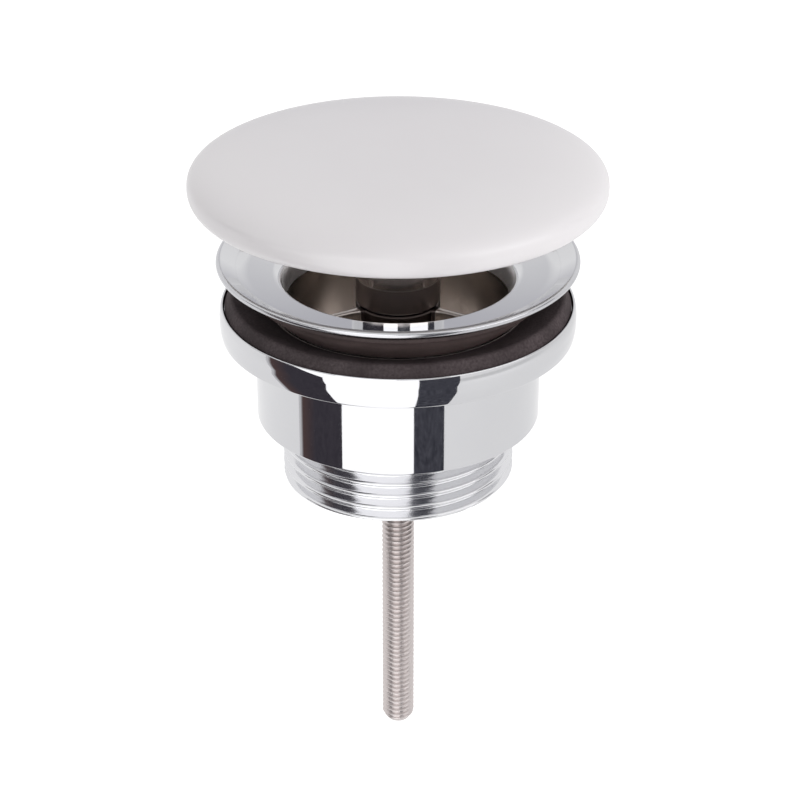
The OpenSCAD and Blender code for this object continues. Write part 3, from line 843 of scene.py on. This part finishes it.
# Strength of the light that falls from the left and from the right, the shares of the way to the
# right between which it grows, and what the front and the rear add to it
LEFT_LIGHT = 0.49
RIGHT_LIGHT = 0.71
LIGHT_GROWTH = (-1.0, 0.1)
FRONT_LIGHT = 0.2
REAR_LIGHT = 0.12
# The grey patch that mirrors see low behind the part: its colour, how much faster it fades sideways
# than upwards, where its fade begins and ends, and how far it reaches round to the front
PATCH_GREY = "#C8C8CE"
PATCH_SIDE = 1.9
PATCH_FADE = (0.2, 0.76)
PATCH_FRONT = (0.0, 0.5)
# The floor, and the light that it gives by itself: for all that sees it, for the camera besides,
# and for camera and mirrors besides on the left, on the right and at the back, with the places
# between which that changes
FLOOR_Z = ROD_END * MM - 0.1
FLOOR_HALF = 4.0
FLOOR_GLOW = 0.08
EYE_GLOW = 0.2
LEFT_GLOW = 0.23
RIGHT_GLOW = 0.07
BACK_GLOW = 0.07
GLOW_SIDES = (-0.4, 0.4)
GLOW_DEPTHS = (-0.1, 0.25)
# Places of the cards: a low card stands a little over the floor, and a high one hangs nearer
CARD_DISTANCE = 0.25
CARD_FOOT = FLOOR_Z + 0.001
CARD_NEAR = 0.03
HIGH_DISTANCE = CARD_DISTANCE * 0.8
HIGH_FOOT = 0.03
HIGH_TOP = 0.075
LIT_TOP = 0.08
UPPER_TOP = 0.16
BEHIND_DISTANCE = CARD_DISTANCE + 0.02
BEHIND_START = -66
LIT_START = -43.5
LIT_END = 12
# How many times finer a card's mottle is upwards than sideways
MOTTLE_SQUEEZED = 12.0
# Colours of the cards, each pair with its strength
LEFT_DARK = ("#37343C", "#49454C", 1.0)
RIGHT_DARK = ("#2E2F38", "#5E5E66", 1.0)
UPPER_WHITE = ("#FFFFFF", "#FFFFFF", 0.95)
LIT_WHITE = ("#FFFFFF", "#FFFFFF", 1.6)
HIGH_WHITE = ("#FFFFFF", "#FFFFFF", 2.2)
# Colours that the left cards turn to far out, and the azimuths between which they do
LEFT_FADES = (("#584847", -67, -78), ("#DADADC", -79, -81.5))
# Name, first and last azimuth, height of the top at each, colours and fades of the low dark cards
LOW_CARDS = (
    ("left_outer_card", -83, -67.5, 0.03, 0.02, LEFT_DARK, LEFT_FADES),
    ("left_card", -69, LIT_START, 0.02, -0.03, LEFT_DARK, LEFT_FADES),
    ("right_card", LIT_END, 35.5, 0.02, 0.02, RIGHT_DARK, ()))
# Name, first and last azimuth, and colours of the high cards
HIGH_CARDS = (
    ("left_high_card", -99, -36, LEFT_DARK),
    ("middle_high_card", -36, -1, HIGH_WHITE),
    ("right_high_card", -1, 30, RIGHT_DARK),
    ("side_high_card", 30, 80, HIGH_WHITE),
    ("last_high_card", 80, 103, RIGHT_DARK))


def turn_of(tree, place):
    """Angle atan2(x, y) of each point round the axis. On the left it is -180 degrees less the
    azimuth."""
    axes = add(tree, "ShaderNodeSeparateXYZ", [place])
    return add(tree, "ShaderNodeMath", [axes["X"], axes["Y"]], operation="ARCTAN2")[0]


def seen(tree):
    """1 for what the camera, a mirror or clear glass sees, and 0 for the light that falls."""
    path = add(tree, "ShaderNodeLightPath", {})
    rays = [path["Is Camera Ray"], path["Is Glossy Ray"]]
    first = add(tree, "ShaderNodeMath", rays, operation="MAXIMUM")[0]
    return add(tree, "ShaderNodeMath", [first, path["Is Transmission Ray"]], operation="MAXIMUM")[0]


def make_world():
    """White to the eye, and a plain soft light for everything that falls on the part, a little
    weaker from the left and stronger from the front and the rear. A mirror sees a grey patch low
    behind the part, which greys the front of the bowl: the patch fades to white with height and to
    both sides, and the front half is white all over."""
    world = bpy.data.worlds.new("studio")
    bpy.context.scene.world = world
    tree = empty_tree(world)
    way = add(tree, "ShaderNodeSeparateXYZ", [add(tree, "ShaderNodeTexCoord", {})["Generated"]])
    aside = add(tree, "ShaderNodeMath", [way["X"]], operation="ABSOLUTE")[0]
    away = add(tree, "ShaderNodeMath", [aside, PATCH_SIDE, way["Z"]], operation="MULTIPLY_ADD")[0]
    behind = add(tree, "ShaderNodeMapRange", [away, *PATCH_FADE, 0.0, 1.0])[0]
    ahead = add(tree, "ShaderNodeMapRange", [way["Y"], *PATCH_FRONT, 1.0, 0.0])[0]
    whiteness = add(tree, "ShaderNodeMath", [behind, ahead], operation="MAXIMUM")[0]
    glossy = add(tree, "ShaderNodeLightPath", {})["Is Glossy Ray"]
    sky = add(tree, "ShaderNodeMix", {0: whiteness, 6: PATCH_GREY, 7: "#FFFFFF"}, data_type="RGBA")[2]
    shown = add(tree, "ShaderNodeMix", {0: glossy, 6: "#FFFFFF", 7: sky}, data_type="RGBA")[2]
    fall = add(tree, "ShaderNodeMapRange", [way["X"], *LIGHT_GROWTH, LEFT_LIGHT, RIGHT_LIGHT])[0]
    front = add(tree, "ShaderNodeMapRange", [way["Y"], -1.0, 0.0, FRONT_LIGHT, 0.0])[0]
    rear = add(tree, "ShaderNodeMapRange", [way["Y"], 0.0, 1.0, 0.0, REAR_LIGHT])[0]
    ends = add(tree, "ShaderNodeMath", [front, rear], operation="ADD")[0]
    level = add(tree, "ShaderNodeMath", [fall, ends], operation="ADD")[0]
    light = add(tree, "ShaderNodeBackground", {"Color": "#FFFFFF", "Strength": level})[0]
    view = add(tree, "ShaderNodeBackground", {"Color": shown, "Strength": 1.0})[0]
    both = add(tree, "ShaderNodeMixShader", [seen(tree), light, view])[0]
    add(tree, "ShaderNodeOutputWorld", {"Surface": both})


def board(name, corners, material):
    """A flat board through four corners."""
    mesh = bpy.data.meshes.new(name)
    mesh.from_pydata(corners, [], [(0, 1, 2, 3)])
    mesh.materials.append(material)
    made = bpy.data.objects.new(name, mesh)
    bpy.context.scene.collection.objects.link(made)
    return made


def make_floor():
    """A plain pale floor, lifted to white for the eye and for mirrors, most at the left and the
    back, and clear from below."""
    material, tree, place = new_material("pale_floor")
    paint = add(tree, "ShaderNodeBsdfDiffuse", {"Color": "#F4F4F4"})[0]
    eye = add(tree, "ShaderNodeLightPath", {})["Is Camera Ray"]
    extra = add(tree, "ShaderNodeMath", [eye, EYE_GLOW, FLOOR_GLOW], operation="MULTIPLY_ADD")[0]
    spot = add(tree, "ShaderNodeSeparateXYZ", [place])
    aside = add(tree, "ShaderNodeMapRange", [spot["X"], *GLOW_SIDES, LEFT_GLOW, RIGHT_GLOW])[0]
    behind = add(tree, "ShaderNodeMapRange", [spot["Y"], *GLOW_DEPTHS, 0.0, BACK_GLOW])[0]
    bright = add(tree, "ShaderNodeMath", [aside, behind], operation="ADD")[0]
    lift = add(tree, "ShaderNodeMath", [seen(tree), bright, extra], operation="MULTIPLY_ADD")[0]
    glow = add(tree, "ShaderNodeEmission", {"Strength": lift})[0]
    both = add(tree, "ShaderNodeAddShader", [paint, glow])[0]
    clear = add(tree, "ShaderNodeBsdfTransparent", {})[0]
    back = add(tree, "ShaderNodeNewGeometry", {})["Backfacing"]
    sided = add(tree, "ShaderNodeMixShader", [back, both, clear])[0]
    add(tree, "ShaderNodeOutputMaterial", {"Surface": sided})
    signs = ((-1, -1), (1, -1), (1, 1), (-1, 1))
    board("floor", [(x * FLOOR_HALF, y * FLOOR_HALF, FLOOR_Z) for x, y in signs], material)


def standing(start, end, top_start, top_end, low=CARD_FOOT, distance=CARD_DISTANCE):
    """Corners of a board that stands up and faces the axis, between two azimuths, with the height
    of its top at each, and of its lower edge."""
    middle = math.radians((start + end) / 2)
    half = distance * math.tan(math.radians((end - start) / 2))
    foot = np.array([math.sin(middle), -math.cos(middle), 0]) * distance
    side = np.array([math.cos(middle), math.sin(middle), 0]) * half
    up = np.array([0, 0, 1.0])
    return [tuple(p) for p in (foot - side + up * low, foot + side + up * low,
                               foot + side + up * top_end, foot - side + up * top_start)]


def lying(start, end):
    """Corners of a board that lies on the floor, from near the axis out to a standing card's foot
    between the same azimuths."""
    outer = standing(start, end, 0, 0)[:2]
    share = CARD_NEAR / CARD_DISTANCE
    return [*outer, *((x * share, y * share, z) for x, y, z in reversed(outer))]


def make_card(name, boards, colours, fades=()):
    """One card of one or more boards, which shines by itself. Its mottle is 12 mm wide and 1 mm
    high, because a round bar narrows what it mirrors. Each fade turns it to another colour between
    two azimuths on the left."""
    material, tree, place = new_material(name)
    low, high, strength = colours
    squeezed = add(tree, "ShaderNodeMapping", {
        "Vector": place, "Scale": (1.0, 1.0, MOTTLE_SQUEEZED)})["Vector"]
    mottle = add(tree, "ShaderNodeTexNoise", {
        "Vector": squeezed, "Scale": per_feature(12), "Detail": 3.0})["Fac"]
    share = add(tree, "ShaderNodeMapRange", [mottle, *NOISE, 0.0, 1.0])[0]
    colour = add(tree, "ShaderNodeMix", {0: share, 6: low, 7: high}, data_type="RGBA")[2]
    for other, start, end in fades:
        begins, whole = math.radians(-180 - start), math.radians(-180 - end)
        faded = add(tree, "ShaderNodeMapRange", [turn_of(tree, place), begins, whole, 0.0, 1.0])[0]
        colour = add(tree, "ShaderNodeMix", {0: faded, 6: colour, 7: other}, data_type="RGBA")[2]
    glow = add(tree, "ShaderNodeEmission", {"Color": colour, "Strength": strength})[0]
    add(tree, "ShaderNodeOutputMaterial", {"Surface": glow})
    for part, corners in boards.items():
        card = board(f"{name}_{part}", corners, material)
        card.visible_camera = False
        card.visible_diffuse = False
        card.visible_shadow = False


def make_cards():
    """Cards that only polished metal shows. The low ones make the body's bands, go on along the
    floor towards the part, and have a lit card between them and behind the left one. The post
    mirrors the high ones, and the bowl's front shows them once more."""
    for name, start, end, top_start, top_end, colours, fades in LOW_CARDS:
        boards = {"up": standing(start, end, top_start, top_end), "floor": lying(start, end)}
        make_card(name, boards, colours, fades)
    for name, start, end, colours in HIGH_CARDS:
        boards = {"up": standing(start, end, HIGH_TOP, HIGH_TOP, HIGH_FOOT, HIGH_DISTANCE)}
        make_card(name, boards, colours)
    upper = standing(LIT_START, LIT_END, UPPER_TOP, UPPER_TOP, LIT_TOP)
    make_card("upper_lit_card", {"up": upper}, UPPER_WHITE)
    make_card("lit_card", {
        "up": standing(LIT_START, LIT_END, LIT_TOP, LIT_TOP),
        "floor": lying(LIT_START, LIT_END),
        "behind": standing(BEHIND_START, LIT_START, LIT_TOP, LIT_TOP, distance=BEHIND_DISTANCE),
    }, LIT_WHITE)


def make_lamp():
    """A large soft lamp in front and to the right, which leaves the left side in soft shade."""
    data = bpy.data.lights.new("soft_lamp", "AREA")
    data.shape = "RECTANGLE"
    data.size = LAMP_WIDTH
    data.size_y = LAMP_HEIGHT
    data.energy = LAMP_POWER
    lamp = bpy.data.objects.new("soft_lamp", data)
    lamp.location = LAMP_AT
    lamp.rotation_euler = (-mathutils.Vector(LAMP_AT)).to_track_quat("-Z", "Y").to_euler()
    lamp.visible_camera = False
    lamp.visible_glossy = False
    bpy.context.scene.collection.objects.link(lamp)


def make_camera():
    """The photograph's viewpoint, above and in front of the part, pitched down towards it."""
    data = bpy.data.cameras.new("camera")
    data.lens = CAMERA_LENS
    data.clip_start = CAMERA_NEAR
    camera = bpy.data.objects.new("camera", data)
    camera.location = CAMERA_AT
    camera.rotation_euler = (math.pi / 2 - CAMERA_PITCH, 0, 0)
    bpy.context.scene.collection.objects.link(camera)
    bpy.context.scene.camera = camera


make_camera()
make_world()
make_floor()
make_cards()
make_lamp()
make_cap()
make_post()
make_flange()
make_seals()
make_body()
make_rod()
bpy.context.scene.view_settings.view_transform = "Standard"
